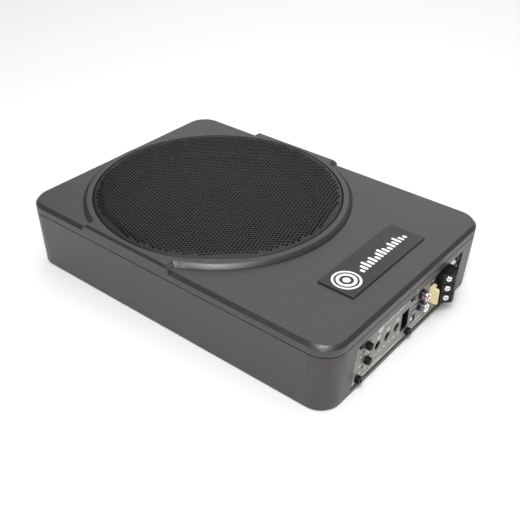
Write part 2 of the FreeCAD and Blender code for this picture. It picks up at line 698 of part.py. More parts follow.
# ---- control panel ----
def control_panel():
    x = (PANEL_X - PANEL_T, PANEL_X)
    y = OPENING_HALF_Y - PANEL_GAP
    z = (OPENING_Z[0] + PANEL_GAP, OPENING_Z[1] - PANEL_GAP)
    plate = block(x, (-y, y), z)
    through = (x[0] - 1, x[1] + 1)
    half_y, half_z = SLIDE_SLOT_HALF
    cuts = []
    for screw_y in PAN_SCREW_Y:
        cuts.append(rod(1.7, V(through[0], screw_y, PAN_SCREW_Z), ALONG_X, 4))
    for screw_y in CAP_SCREW_Y:
        cuts.append(rod(2.2, V(through[0], screw_y, CAP_SCREW_Z), ALONG_X, 4))
    for pot_y in POT_Y:
        cuts.append(rod(POT_HOLE_R, V(through[0], pot_y, POT_Z), ALONG_X, 4))
    for slide_z in SLIDE_Z:
        slot_y = (SLIDE_Y - half_y, SLIDE_Y + half_y + SLIDE_TRAVEL)
        cuts.append(block(through, slot_y, (slide_z - half_z, slide_z + half_z)))
    for led_z in LED_Z:
        cuts.append(rod(LED_R + 0.1, V(through[0], LED_Y, led_z), ALONG_X, 4))
    for rca_z in RCA_Z:
        cuts.append(rod(RCA_COLLAR_R + 0.2, V(through[0], RCA_Y, rca_z), ALONG_X, 4))
    fitted = ((JACK_Y, JACK_Z), (RANGE_SWITCH_Y, RANGE_SWITCH_Z), (HEADER_Y, HEADER_Z))
    for part_y, part_z in fitted:
        cuts.append(block(through, widened(part_y, 0.2), widened(part_z, 0.2)))
    cuts.append(block(through, widened(BLOCK_Y, -1.3), widened(BLOCK_Z, -0.8)))
    return plate.cut(fused(cuts))


def panel_pan_screws():
    screws = []
    head_r, head_h = PAN_HEAD
    for y in PAN_SCREW_Y:
        seat = V(PANEL_X, y, PAN_SCREW_Z)
        screw = pan_screw(seat, ALONG_X, head_r, head_h, 1.5, 8.0)
        screws.append(cross_recess(screw, seat + ALONG_X * head_h, ALONG_X, 3.2, 1.1))
    return group(screws)


def panel_cap_screws():
    """Socket head screws along the foot of the panel."""
    screws = []
    head_r, head_h = CAP_HEAD
    for y in CAP_SCREW_Y:
        seat = V(PANEL_X, y, CAP_SCREW_Z)
        head = rod(head_r, seat, ALONG_X, head_h)
        rim = [e for e in head.Edges if e.isClosed() and e.CenterOfMass.x > PANEL_X + 1]
        head = head.makeChamfer(0.4, rim)
        corners = []
        for i in range(7):
            a = math.radians(60 * i)
            offset = V(CAP_SOCKET_FLOOR, CAP_SOCKET_R * math.cos(a), CAP_SOCKET_R * math.sin(a))
            corners.append(seat + offset)
        socket = Part.Face(Part.makePolygon(corners)).extrude(ALONG_X * head_h)
        shank = rod(2.0, seat - ALONG_X * 8, ALONG_X, 8)
        screws.append(head.fuse(shank).cut(socket))
    return group(screws)


# ---- rotary controls ----
def pot_body(y):
    rear = block((154.0, 161.5), (y - 5.0, y + 5.0), (BOARD_Z[1], POT_Z + 5.2))
    bush = rod(POT_BUSH_R, V(161.0, y, POT_Z), ALONG_X, 3.0)
    return rear.fuse(bush).cut(rod(POT_SHAFT_R + 0.05, V(156.0, y, POT_Z), ALONG_X, 12))


def pot_shaft(y):
    rear, front = POT_SHAFT_X
    shaft = rod(POT_SHAFT_R, V(rear, y, POT_Z), ALONG_X, front - rear)
    return shaft.cut(block((front - 1.4, front + 1), (y - 0.5, y + 0.5), (POT_Z - 4, POT_Z + 4)))


# ---- slide switches ----
def slide_body(z):
    y = (SLIDE_Y - 4.6, SLIDE_Y + 8.6)
    case = block((159.0, 169.6), y, (z - 3.0, z + 3.0))
    track = block((163.5, 170.0), (SLIDE_Y - 2.2, SLIDE_Y + 2.2 + SLIDE_TRAVEL), (z - 1.6, z + 1.6))
    return case.cut(track)


def slide_cap(z):
    """Ribbed grip on a stem that runs in the switch's track."""
    stem = block((163.6, PANEL_X + 0.6), (SLIDE_Y - 2.0, SLIDE_Y + 2.0), (z - 1.5, z + 1.5))
    half = SLIDE_GRIP_HALF
    front_x = SLIDE_GRIP_X[1]
    grip = block(SLIDE_GRIP_X, (SLIDE_Y - half, SLIDE_Y + half), (z - half, z + half))
    edges = [e for e in grip.Edges if abs(e.tangentAt(e.FirstParameter).x) > 0.9]
    grip = grip.makeChamfer(1.2, edges)
    front = [e for e in grip.Edges if e.BoundBox.XMin > front_x - 0.1]
    grip = grip.makeChamfer(0.4, front)
    grooves = []
    for i in range(-2, 3):
        y = SLIDE_Y + i * 1.2
        grooves.append(block((front_x - 0.7, front_x + 1), (y - 0.3, y + 0.3), (z - 4, z + 4)))
    return stem.fuse(grip).cut(fused(grooves))


def range_switch_body():
    case = block((158.0, PANEL_X - 0.4), RANGE_SWITCH_Y, (BOARD_Z[1], RANGE_SWITCH_Z[1]))
    y0, y1 = RANGE_SWITCH_Y
    window = block((165.0, 172.0), (y0 + 1.2, y1 - 1.2), (RANGE_SWITCH_Z[0] + 2.0, RANGE_SWITCH_Z[1] - 1.4))
    return case.cut(window)


def range_switch_slider():
    y0 = RANGE_SWITCH_Y[0] + 1.3
    z = (RANGE_SWITCH_Z[0] + 2.1, RANGE_SWITCH_Z[1] - 1.5)
    return block((165.1, PANEL_X - 0.2), (y0, y0 + 2.8), z)


def status_leds():
    lamps = []
    for z in LED_Z:
        lamp = rod(LED_R, V(164.0, LED_Y, z), ALONG_X, PANEL_X - 164.0)
        lamps.append(lamp.fuse(Part.makeSphere(LED_R, V(PANEL_X - 0.8, LED_Y, z))))
    return group(lamps)


# ---- sockets ----
def remote_jack_body():
    case = block((154.0, PANEL_X - 0.3), JACK_Y, JACK_Z)
    x = (158.5, PANEL_X + 1)
    hollow = block(x, widened(JACK_Y, -1.0), widened(JACK_Z, -2.0))
    latch = block(x, widened(JACK_Y, -4.0), (JACK_Z[0] + 0.8, JACK_Z[0] + 3.0))
    return case.cut(fused([hollow, latch]))


def remote_jack_contacts():
    pins = []
    middle = (JACK_Y[0] + JACK_Y[1]) / 2
    for i in range(6):
        y = middle + (i - 2.5) * 1.3
        pins.append(block((158.5, 168.0), (y - 0.25, y + 0.25), (JACK_Z[1] - 3.2, JACK_Z[1] - 2.7)))
    return group(pins)


def rca_body():
    """Black twin housing with a collar through the panel for each socket."""
    z = (BOARD_Z[1], RCA_Z[0] + 6.0)
    rear = PANEL_X - PANEL_T
    parts = [block((RCA_REAR_X - 4, rear), (RCA_Y - 6.5, RCA_Y + 6.5), z)]
    for socket_z in RCA_Z:
        start = V(rear - 1, RCA_Y, socket_z)
        parts.append(rod(RCA_COLLAR_R, start, ALONG_X, 1 + PANEL_T + RCA_COLLAR))
    body = fused(parts)
    bores = [rod(RCA_NECK_R, V(RCA_REAR_X, RCA_Y, socket_z), ALONG_X, 20) for socket_z in RCA_Z]
    return body.cut(fused(bores))


def rca_shells():
    """Metal sleeves: the part that takes a plug is a little larger than the neck behind it."""
    front_x = PANEL_X + RCA_COLLAR
    shells = []
    for z in RCA_Z:
        neck = rod(RCA_NECK_R, V(RCA_REAR_X, RCA_Y, z), ALONG_X, front_x - RCA_REAR_X)
        sleeve = rod(RCA_SHELL_R[1], V(front_x, RCA_Y, z), ALONG_X, RCA_REACH - RCA_COLLAR)
        bore = rod(RCA_SHELL_R[0], V(RCA_REAR_X - 1, RCA_Y, z), ALONG_X, 40)
        shells.append(neck.fuse(sleeve).cut(bore))
    return group(shells)


def rca_insert(z):
    length = PANEL_X + RCA_REACH - 0.5 - RCA_REAR_X
    return tube(RCA_SHELL_R[0], RCA_PIN_HOLE_R, V(RCA_REAR_X, RCA_Y, z), ALONG_X, length)


def header_pin_z(index):
    middle = (HEADER_Z[0] + HEADER_Z[1]) / 2
    return middle + (index - (HEADER_PINS - 1) / 2) * HEADER_PITCH


def speaker_header():
    """Four way wafer header with one tall friction lock wall."""
    y0 = HEADER_Y[0]
    base = block((160.0, HEADER_BASE_X), HEADER_Y, HEADER_Z)
    wall = block((HEADER_BASE_X - 1.0, HEADER_WALL_X), (y0, y0 + HEADER_WALL), HEADER_Z)
    outer = [e for e in wall.Edges if e.BoundBox.XMin > HEADER_WALL_X - 0.1]
    wall = wall.makeChamfer(1.0, [e for e in outer if e.BoundBox.YMin > y0 + 1])
    outer = [e for e in wall.Edges if e.BoundBox.XMin > HEADER_WALL_X - 0.6]
    wall = wall.makeChamfer(1.2, [e for e in outer if abs(e.tangentAt(e.FirstParameter).y) > 0.9])
    holes = []
    for i in range(HEADER_PINS):
        z = header_pin_z(i)
        holes.append(block((150.0, 190.0), HEADER_PIN_Y, (z - 0.6, z + 0.6)))
    return base.fuse(wall).cut(fused(holes))


def header_pins():
    pins = []
    for i in range(HEADER_PINS):
        z = header_pin_z(i)
        pins.append(block((157.0, PANEL_X + 5.5), widened(HEADER_PIN_Y, -0.02), (z - 0.58, z + 0.58)))
    return group(pins)


# ---- power terminals ----
# The block's nose has two 45 degree faces: screws are on the -Y one, wires enter the +Y one.
# u runs out through the screw face and v out through the wire face.
ROOT_HALF = math.sqrt(0.5)
U_DIR = V(ROOT_HALF, -ROOT_HALF, 0)
V_DIR = V(ROOT_HALF, ROOT_HALF, 0)
SCREW_FACE_U = (BLOCK_SIDE_X - BLOCK_Y[0]) * ROOT_HALF
WIRE_FACE_V = (BLOCK_SIDE_X + BLOCK_Y[1]) * ROOT_HALF
SCREW_V = (BLOCK_NOSE_X + BLOCK_SIDE_X) / 2 * ROOT_HALF + (BLOCK_Y[0] + 3.9) * ROOT_HALF
WIRE_U = 82.65
WIRE_R = 2.0
CAGE_U = (79.6, 87.0)
CAGE_V = (SCREW_V - 3.0, SCREW_V + 3.0)
CAGE_HALF_Z = 3.8
CAGE_WALL = 1.0
CAGE_TOP_WALL = 1.4
CLAMP_TRAVEL = SCREW_PITCH * SCREW_TURNS
HEAD_UNDER_U = SCREW_FACE_U - 2.5
BAR_U = (84.75, 85.45)


def way_z(index):
    return BLOCK_Z[1] - (BLOCK_Z[1] - BLOCK_Z[0]) * (index + 0.5) / WAYS


def uv_block(u, v, z):
    """Box aligned with the two 45 degree faces."""
    solid = block(u, v, z)
    solid.rotate(V(0, 0, 0), UP, -45)
    return solid


def uv_point(u, v, z):
    return U_DIR * u + V_DIR * v + V(0, 0, z)


def terminal_block():
    points = [
        (PANEL_X, BLOCK_Y[0]), (BLOCK_SIDE_X, BLOCK_Y[0]), (BLOCK_NOSE_X, BLOCK_Y[0] + 7.8),
        (BLOCK_NOSE_X, BLOCK_Y[1] - 7.8), (BLOCK_SIDE_X, BLOCK_Y[1]), (PANEL_X, BLOCK_Y[1]),
    ]
    front = prism_xy(points, BLOCK_Z)
    rear = block((BLOCK_REAR_X, PANEL_X + 1), widened(BLOCK_Y, -1.5), widened(BLOCK_Z, -1.0))
    body = front.fuse(rear)
    cuts = []
    for i in range(WAYS):
        z = way_z(i)
        cuts.append(rod(3.2, uv_point(HEAD_UNDER_U, SCREW_V, z), U_DIR, 6))
        cuts.append(rod(1.9, uv_point(BAR_U[1], SCREW_V, z), U_DIR, 10))
        cuts.append(rod(WIRE_R, uv_point(WIRE_U, CAGE_V[1], z), V_DIR, 10))
        cavity_u = (CAGE_U[0] - 0.1, CAGE_U[1] + CLAMP_TRAVEL + 0.1)
        cavity_z = (z - CAGE_HALF_Z - 0.1, z + CAGE_HALF_Z + 0.1)
        cuts.append(uv_block(cavity_u, (CAGE_V[0] - 0.1, CAGE_V[1] + 0.1), cavity_z))
        cuts.append(terminal_bar(i))
    for i in range(1, WAYS):
        z = BLOCK_Z[1] - (BLOCK_Z[1] - BLOCK_Z[0]) * i / WAYS
        cuts.append(uv_block((SCREW_FACE_U - 0.7, SCREW_FACE_U + 1), (150, 180), (z - 0.45, z + 0.45)))
        cuts.append(uv_block((70, 100), (WIRE_FACE_V - 0.7, WIRE_FACE_V + 1), (z - 0.45, z + 0.45)))
    return body.cut(fused(cuts))


def terminal_bar(index):
    """Brass tongue inside the clamp, running back to the circuit board."""
    z = (way_z(index) - 2.4, way_z(index) + 2.4)
    tongue = uv_block(BAR_U, (SCREW_V - 6.0, SCREW_V + 2.6), z)
    elbow = uv_point(BAR_U[1], SCREW_V - 6.0, 0)
    tail = block((158.0, elbow.x + 0.5), (elbow.y, elbow.y + 0.9), z)
    return tongue.fuse(tail)


def terminal_screw(index):
    z = way_z(index)
    head = rod(3.0, uv_point(HEAD_UNDER_U, SCREW_V, z), U_DIR, 2.2)
    rim = [e for e in head.Edges if e.isClosed() and e.CenterOfMass.dot(U_DIR) > HEAD_UNDER_U + 1]
    head = head.makeChamfer(0.35, rim)
    shank = rod(1.65, uv_point(BAR_U[1] + 0.05, SCREW_V, z), U_DIR, HEAD_UNDER_U - BAR_U[1])
    screw = head.fuse(shank)
    slot = uv_block((HEAD_UNDER_U + 1.0, HEAD_UNDER_U + 3), (SCREW_V - 4, SCREW_V + 4), (z - 0.45, z + 0.45))
    screw = screw.cut(slot)
    return cross_recess(screw, uv_point(HEAD_UNDER_U + 2.2, SCREW_V, z), U_DIR, 3.2, 1.2)


def terminal_clamp(index):
    """Rising cage: the screw threads through its top wall and draws it towards the head."""
    z = way_z(index)
    cage = uv_block(CAGE_U, CAGE_V, (z - CAGE_HALF_Z, z + CAGE_HALF_Z))
    window_z = (z - CAGE_HALF_Z + CAGE_WALL, z + CAGE_HALF_Z - CAGE_WALL)
    window_u = (CAGE_U[0] + CAGE_WALL, CAGE_U[1] - CAGE_TOP_WALL)
    window = uv_block(window_u, widened(CAGE_V, 1.0), window_z)
    thread = rod(1.7, uv_point(CAGE_U[0] + 3, SCREW_V, z), U_DIR, 10)
    return cage.cut(window.fuse(thread))


# ---- circuit board and what it carries ----
def main_board():
    board = block(BOARD_X, (-BOARD_HALF_Y, BOARD_HALF_Y), BOARD_Z)
    holes = [rod(1.7, V(x, y, BOARD_Z[0] - 1), UP, 4) for x, y in BOARD_SCREW_XY]
    return board.cut(fused(holes))


def board_screws():
    screws = []
    for x, y in BOARD_SCREW_XY:
        seat = V(x, y, BOARD_Z[1])
        screw = pan_screw(seat, UP, 2.7, 1.8, 1.25, 8.0)
        screws.append(cross_recess(screw, seat + UP * 1.8, UP, 2.6, 1.0))
    return group(screws)


def capacitors():
    cans = []
    for x, y, radius, height in CAPACITOR_CANS:
        can = rod(radius, V(x, y, BOARD_Z[1]), UP, height)
        rims = [e for e in can.Edges if e.isClosed()]
        cans.append(can.makeFillet(0.8, rims))
    return group(cans)


def output_choke():
    foot = V(CHOKE_X, 0, BOARD_Z[1])
    return tube(CHOKE_R[1], CHOKE_R[0], foot, UP, CHOKE_HEIGHT)


def supply_transformer():
    """Ferrite core with the wound bobbin that stands out at both sides of it."""
    z = (BOARD_Z[1], BOARD_Z[1] + CORE_HEIGHT)
    out_x, in_y, in_z = BOBBIN_MARGIN
    core = block(CORE_X, CORE_Y, z)
    bobbin_x = (CORE_X[0] - out_x, CORE_X[1] + out_x)
    bobbin = block(bobbin_x, (CORE_Y[0] + in_y, CORE_Y[1] - in_y), (z[0] + in_z, z[1] - in_z))
    return core.fuse(bobbin)


def heatsink_bar():
    return block(HEATSINK_X, HEATSINK_Y, (BOARD_Z[1], BOARD_Z[1] + HEATSINK_HEIGHT))


def power_transistors():
    """Flat packages whose tabs lie against the heatsink bar."""
    z = BOARD_Z[1]
    back = HEATSINK_X[0]
    cases = []
    for i in range(TRANSISTORS):
        y = HEATSINK_Y[0] + 6.0 + i * TRANSISTOR_PITCH
        width = (y - 5, y + 5)
        parts = [block((back - 4.5, back), width, (z + 6, z + 15))]
        parts.append(block((back - 1.3, back), width, (z + 15, z + 21.5)))
        for k in (-1, 0, 1):
            leg_y = y + k * 2.54
            parts.append(block((back - 2.8, back - 2.1), (leg_y - 0.4, leg_y + 0.4), (z, z + 6)))
        cases.append(fused(parts))
    return group(cases)


def build():
    parts = {
        "lower_shell": lower_shell(),
        "top_cover": top_cover(),
        "lid_gasket": lid_gasket(),
        "lid_screws": lid_screws(),
        "grille": grille(),
        "badge_tape": badge_tape(),
        "badge_plate": badge_plate(),
        "woofer_basket": woofer_basket(),
        "woofer_gasket": woofer_gasket(),
        "woofer_screws": woofer_screws(),
        "surround": surround(),
        "cone": cone(),
        "dust_cap": dust_cap(),
        "voice_coil_former": voice_coil_former(),
        "voice_coil_winding": voice_coil_winding(),
        "spider": spider(),
        "top_plate": top_plate(),
        "magnet": magnet(),
        "pole_yoke": pole_yoke(),
        "woofer_terminals": woofer_terminals(),
        "speaker_leads": speaker_leads(),
        "control_panel": control_panel(),
        "panel_pan_screws": panel_pan_screws(),
        "panel_cap_screws": panel_cap_screws(),
        "range_switch_body": range_switch_body(),
        "range_switch_slider": range_switch_slider(),
        "status_leds": status_leds(),
        "remote_jack_body": remote_jack_body(),
        "remote_jack_contacts": remote_jack_contacts(),
        "rca_body": rca_body(),
        "rca_shells": rca_shells(),
        "rca_insert_red": rca_insert(RCA_Z[0]),
        "rca_insert_white": rca_insert(RCA_Z[1]),
        "speaker_header": speaker_header(),
        "header_pins": header_pins(),
        "terminal_block": terminal_block(),
        "terminal_bars": group(terminal_bar(i) for i in range(WAYS)),
        "main_board": main_board(),
        "board_screws": board_screws(),
        "capacitors": capacitors(),
        "output_choke": output_choke(),
        "supply_transformer": supply_transformer(),
        "heatsink_bar": heatsink_bar(),
        "power_transistors": power_transistors(),
    }
    for name, y in zip(POT_NAMES, POT_Y):
        parts[name + "_pot_body"] = pot_body(y)
        parts[name + "_pot_shaft"] = pot_shaft(y)
    for name, z in zip(SLIDE_NAMES, SLIDE_Z):
        parts[name + "_switch_body"] = slide_body(z)
        parts[name + "_switch_slider"] = slide_cap(z)
    for i in range(WAYS):
        parts["terminal_screw_%d" % (i + 1)] = terminal_screw(i)
        parts["terminal_clamp_%d" % (i + 1)] = terminal_clamp(i)
    return parts


def export(parts):
    os.makedirs("parts", exist_ok=True)
    for name, shape in parts.items():
        shape.exportStep("parts/" + name + ".step")
        facts = (name, len(shape.Solids), shape.isValid(), shape.Volume)
        print("%-22s solids %2d valid %s volume %.0f" % facts)


export(build())
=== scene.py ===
"""Looks of the under-seat subwoofer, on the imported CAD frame. Lengths in mm where named so, else metres."""

import json
import math

import bmesh
import bpy
from mathutils import Matrix, Vector
from mathutils.geometry import delaunay_2d_cdt


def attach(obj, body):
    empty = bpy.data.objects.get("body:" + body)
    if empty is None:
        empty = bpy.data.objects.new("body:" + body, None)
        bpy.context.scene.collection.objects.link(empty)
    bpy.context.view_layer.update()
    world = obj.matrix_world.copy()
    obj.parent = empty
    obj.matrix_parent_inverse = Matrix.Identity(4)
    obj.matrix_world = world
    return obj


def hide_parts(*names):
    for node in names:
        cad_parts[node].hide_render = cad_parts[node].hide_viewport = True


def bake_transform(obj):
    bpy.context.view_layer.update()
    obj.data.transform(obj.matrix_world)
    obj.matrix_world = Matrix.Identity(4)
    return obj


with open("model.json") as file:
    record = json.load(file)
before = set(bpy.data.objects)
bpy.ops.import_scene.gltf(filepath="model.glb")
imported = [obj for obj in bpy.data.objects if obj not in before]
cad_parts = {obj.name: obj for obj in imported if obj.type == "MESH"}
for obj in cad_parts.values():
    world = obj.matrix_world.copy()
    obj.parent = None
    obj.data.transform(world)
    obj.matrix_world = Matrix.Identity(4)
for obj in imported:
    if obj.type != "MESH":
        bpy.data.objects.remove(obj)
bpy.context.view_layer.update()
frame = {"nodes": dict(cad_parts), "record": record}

MM = 0.001
DRIVER_X = -42.3            # centre of the woofer and of the grille

# ---- finishes ----


class Finish:
    """A Principled material whose detail is driven by nodes in object coordinates."""

    def __init__(self, name, colour, roughness, metallic=0.0, **inputs):
        self.material = bpy.data.materials.new(name)
        self.material.use_nodes = True
        tree = self.material.node_tree
        self.nodes = tree.nodes
        self.links = tree.links
        self.shader = next(n for n in self.nodes if n.type == "BSDF_PRINCIPLED")
        self.shader.inputs["Base Color"].default_value = (*colour, 1.0)
        self.shader.inputs["Roughness"].default_value = roughness
        self.shader.inputs["Metallic"].default_value = metallic
        for key, value in inputs.items():
            self.shader.inputs[key.replace("_", " ")].default_value = value
        self.material.diffuse_color = (*colour, 1.0)
        self.object_space = self.nodes.new("ShaderNodeTexCoord").outputs["Object"]
        self.normal = None

    def stretched(self, scale):
        mapping = self.nodes.new("ShaderNodeMapping")
        mapping.inputs["Scale"].default_value = scale
        self.links.new(self.object_space, mapping.inputs["Vector"])
        return mapping.outputs["Vector"]

    def noise(self, scale, detail=2.0, roughness=0.5, vector=None):
        node = self.nodes.new("ShaderNodeTexNoise")
        node.inputs["Scale"].default_value = scale
        node.inputs["Detail"].default_value = detail
        node.inputs["Roughness"].default_value = roughness
        self.links.new(vector or self.object_space, node.inputs["Vector"])
        return node.outputs[0]

    def cells(self, scale, feature="F1"):
        node = self.nodes.new("ShaderNodeTexVoronoi")
        node.feature = feature
        node.inputs["Scale"].default_value = scale
        self.links.new(self.object_space, node.inputs["Vector"])
        return node.outputs["Distance"]

    def waves(self, scale, direction):
        node = self.nodes.new("ShaderNodeTexWave")
        node.bands_direction = direction
        node.inputs["Scale"].default_value = scale
        self.links.new(self.object_space, node.inputs["Vector"])
        return node.outputs["Fac"]

    def product(self, a, b):
        node = self.nodes.new("ShaderNodeMath")
        node.operation = "MULTIPLY"
        self.links.new(a, node.inputs[0])
        self.links.new(b, node.inputs[1])
        return node.outputs[0]

    def remap(self, value, low, high, to_low, to_high):
        node = self.nodes.new("ShaderNodeMapRange")
        for socket, number in zip(list(node.inputs)[1:5], (low, high, to_low, to_high)):
            socket.default_value = number
        self.links.new(value, node.inputs[0])
        return node.outputs[0]

    def tint(self, factor, other):
        """Turns the base colour towards another one by a factor."""
        node = self.nodes.new("ShaderNodeMix")
        node.data_type = "RGBA"
        base = self.shader.inputs["Base Color"]
        if base.is_linked:
            self.links.new(base.links[0].from_socket, node.inputs[6])
        else:
            node.inputs[6].default_value = base.default_value
        node.inputs[7].default_value = (*other, 1.0)
        self.links.new(factor, node.inputs[0])
        self.links.new(node.outputs[2], base)
        return self

    def rough(self, factor, low, high):
        self.links.new(self.remap(factor, 0.25, 0.75, low, high), self.shader.inputs["Roughness"])
        return self

    def bump(self, height, depth_mm, strength=1.0):
        node = self.nodes.new("ShaderNodeBump")
        node.inputs["Distance"].default_value = depth_mm * MM
        node.inputs["Strength"].default_value = strength
        self.links.new(height, node.inputs["Height"])
        if self.normal:
            self.links.new(self.normal, node.inputs["Normal"])
        self.normal = node.outputs["Normal"]
        self.links.new(self.normal, self.shader.inputs["Normal"])
        return self


def textured_paint(name, colour, light, roughness):
    """Sprayed paint with a fine sandy grain and lighter specks."""
    f = Finish(name, colour, roughness, Specular_IOR_Level=0.8)
    grain = f.noise(1500.0, 3.0, 0.6)
    pebbles = f.cells(1100.0)
    f.tint(f.remap(f.noise(650.0, 4.0, 0.7), 0.42, 0.68, 0.0, 1.0), light)
    f.tint(f.remap(f.noise(9.0, 3.0), 0.35, 0.75, 0.0, 0.3), light)
    f.rough(f.noise(420.0, 3.0), roughness - 0.06, roughness + 0.08)
    f.bump(pebbles, 0.1, 0.8)
    f.bump(grain, 0.1, 0.8)
    return f.material


def moulded_plastic(name, colour, roughness=0.45, specular=0.5):
    f = Finish(name, colour, roughness, Specular_IOR_Level=specular)
    lighter = tuple(min(1.0, c * 1.25 + 0.001) for c in colour)
    f.tint(f.remap(f.noise(180.0, 4.0), 0.4, 0.7, 0.0, 0.6), lighter)
    f.rough(f.noise(900.0, 2.0), roughness - 0.08, roughness + 0.1)
    f.bump(f.noise(2600.0, 2.0), 0.02, 0.6)
    return f.material


def gloss_plastic(name, colour, roughness=0.18):
    f = Finish(name, colour, roughness, Coat_Weight=0.4, Coat_Roughness=0.08)
    darker = tuple(c * 0.8 for c in colour)
    f.tint(f.remap(f.noise(260.0, 3.0), 0.4, 0.7, 0.0, 0.6), darker)
    f.rough(f.noise(600.0, 2.0), roughness - 0.05, roughness + 0.1)
    f.bump(f.noise(300.0, 2.0), 0.03, 0.35)
    return f.material


def soft_rubber(name, colour, roughness=0.6):
    f = Finish(name, colour, roughness)
    f.tint(f.remap(f.noise(120.0, 5.0, 0.65), 0.4, 0.7, 0.0, 0.8), tuple(c * 1.7 + 0.003 for c in colour))
    f.rough(f.noise(500.0, 3.0), roughness - 0.1, roughness + 0.12)
    f.bump(f.noise(1800.0, 3.0), 0.03, 0.5)
    return f.material


def plated_metal(name, colour, roughness):
    """Zinc plate with a faint crystal pattern and fine scratches."""
    f = Finish(name, colour, roughness, 1.0)
    f.tint(f.remap(f.cells(320.0), 0.1, 0.8, 0.0, 0.5), tuple(c * 0.7 for c in colour))
    f.rough(f.noise(240.0, 4.0, 0.6), roughness - 0.08, roughness + 0.12)
    f.bump(f.noise(1400.0, 3.0), 0.02, 0.4)
    return f.material


def bright_metal(name, colour, roughness):
    f = Finish(name, colour, roughness, 1.0)
    f.tint(f.remap(f.noise(500.0, 3.0), 0.5, 0.75, 0.0, 0.5), tuple(c * 0.75 for c in colour))
    f.rough(f.noise(900.0, 3.0), roughness - 0.04, roughness + 0.1)
    f.bump(f.noise(700.0, 3.0), 0.03, 0.25)
    return f.material


def brushed_plate(name, colour, shade, roughness, along, metallic):
    """Metal sheet brushed along one axis."""
    f = Finish(name, colour, roughness, metallic)
    scale = [1.0, 1.0, 1.0]
    scale[along] = 0.02
    streaks = f.noise(2600.0, 3.0, 0.6, f.stretched(scale))
    f.tint(f.remap(streaks, 0.35, 0.7, 0.0, 0.9), shade)
    f.tint(f.remap(f.noise(14.0, 2.0), 0.4, 0.7, 0.0, 0.35), shade)
    f.rough(streaks, roughness - 0.08, roughness + 0.1)
    f.bump(streaks, 0.015, 0.5)
    return f.material


def satin_black(name, colour, light, roughness=0.38, specular=0.5):
    """Baked black paint on steel, a little worn on high spots."""
    f = Finish(name, colour, roughness, Specular_IOR_Level=specular)
    f.tint(f.remap(f.noise(800.0, 4.0, 0.7), 0.5, 0.75, 0.0, 0.7), light)
    f.rough(f.noise(350.0, 3.0), roughness - 0.08, roughness + 0.12)
    f.bump(f.noise(1700.0, 2.0), 0.02, 0.6)
    return f.material


def paper_cone():
    f = Finish("cone_paper", (0.03, 0.03, 0.032), 0.62)
    fibres = f.noise(700.0, 6.0, 0.75, f.stretched((1.0, 0.35, 1.0)))
    f.tint(f.remap(fibres, 0.45, 0.7, 0.0, 0.8), (0.075, 0.075, 0.08))
    f.rough(f.noise(300.0, 3.0), 0.5, 0.72)
    f.bump(fibres, 0.08, 0.8)
    return f.material


def woven_cloth():
    f = Finish("spider_cloth", (0.62, 0.42, 0.17), 0.85)
    weave = f.product(f.waves(650.0, "X"), f.waves(650.0, "Y"))
    f.tint(f.remap(weave, 0.0, 0.6, 1.0, 0.0), (0.3, 0.18, 0.06))
    f.rough(f.noise(200.0, 2.0), 0.75, 0.95)
    f.bump(weave, 0.12, 0.9)
    return f.material


def open_foam():
    f = Finish("foam", (0.03, 0.03, 0.03), 0.95)
    pores = f.cells(900.0)
    f.tint(f.remap(pores, 0.1, 0.6, 0.7, 0.0), (0.008, 0.008, 0.008))
    f.rough(f.noise(300.0, 2.0), 0.85, 1.0)
    f.bump(pores, 0.2, 1.0)
    return f.material


def sintered_ferrite():
    f = Finish("ferrite", (0.05, 0.05, 0.052), 0.7)
    f.tint(f.remap(f.noise(1200.0, 5.0, 0.8), 0.5, 0.7, 0.0, 0.8), (0.12, 0.115, 0.11))
    f.rough(f.noise(200.0, 3.0), 0.6, 0.8)
    f.bump(f.noise(900.0, 5.0, 0.7), 0.06, 0.6)
    return f.material


def copper_winding():
    f = Finish("copper", (0.72, 0.3, 0.13), 0.3, 1.0, Coat_Weight=0.5)
    turns = f.waves(520.0, "Z")
    f.tint(f.remap(turns, 0.0, 0.5, 0.8, 0.0), (0.28, 0.1, 0.04))
    f.rough(f.noise(500.0, 2.0), 0.22, 0.42)
    f.bump(turns, 0.15, 0.9)
    return f.material


def board_laminate():
    """Green solder mask over copper tracks, with tinned pads."""
    f = Finish("board_laminate", (0.02, 0.13, 0.055), 0.32, Coat_Weight=0.5, Coat_Roughness=0.15)
    tracks = f.cells(260.0, "DISTANCE_TO_EDGE")
    f.tint(f.remap(tracks, 0.04, 0.07, 1.0, 0.0), (0.03, 0.22, 0.09))
    pads = f.cells(380.0)
    f.tint(f.remap(pads, 0.1, 0.13, 1.0, 0.0), (0.55, 0.55, 0.5))
    f.rough(f.noise(500.0, 2.0), 0.25, 0.42)
    f.bump(f.remap(tracks, 0.04, 0.08, 1.0, 0.0), 0.03, 0.7)
    return f.material


def turned_aluminium():
    f = Finish("plain_aluminium", (0.62, 0.62, 0.63), 0.32, 1.0)
    marks = f.noise(1800.0, 2.0, 0.5, f.stretched((1.0, 0.05, 1.0)))
    f.tint(f.remap(marks, 0.4, 0.7, 0.0, 0.6), (0.42, 0.42, 0.43))
    f.rough(marks, 0.24, 0.42)
    f.bump(marks, 0.02, 0.6)
    return f.material


def smoked_lens():
    f = Finish("lamp_lens", (0.03, 0.035, 0.03), 0.12, Coat_Weight=0.8, Coat_Roughness=0.04)
    f.tint(f.remap(f.cells(900.0), 0.1, 0.5, 0.4, 0.0), (0.08, 0.09, 0.07))
    f.rough(f.noise(700.0, 2.0), 0.08, 0.2)
    f.bump(f.noise(900.0, 2.0), 0.02, 0.3)
    return f.material


def screen_print(name, colour):
    f = Finish(name, colour, 0.5)
    f.tint(f.remap(f.noise(2200.0, 3.0, 0.7), 0.55, 0.75, 0.0, 0.5), tuple(c * 0.7 for c in colour))
    f.rough(f.noise(1200.0, 2.0), 0.42, 0.6)
    f.bump(f.noise(2400.0, 2.0), 0.01, 0.4)
    return f.material


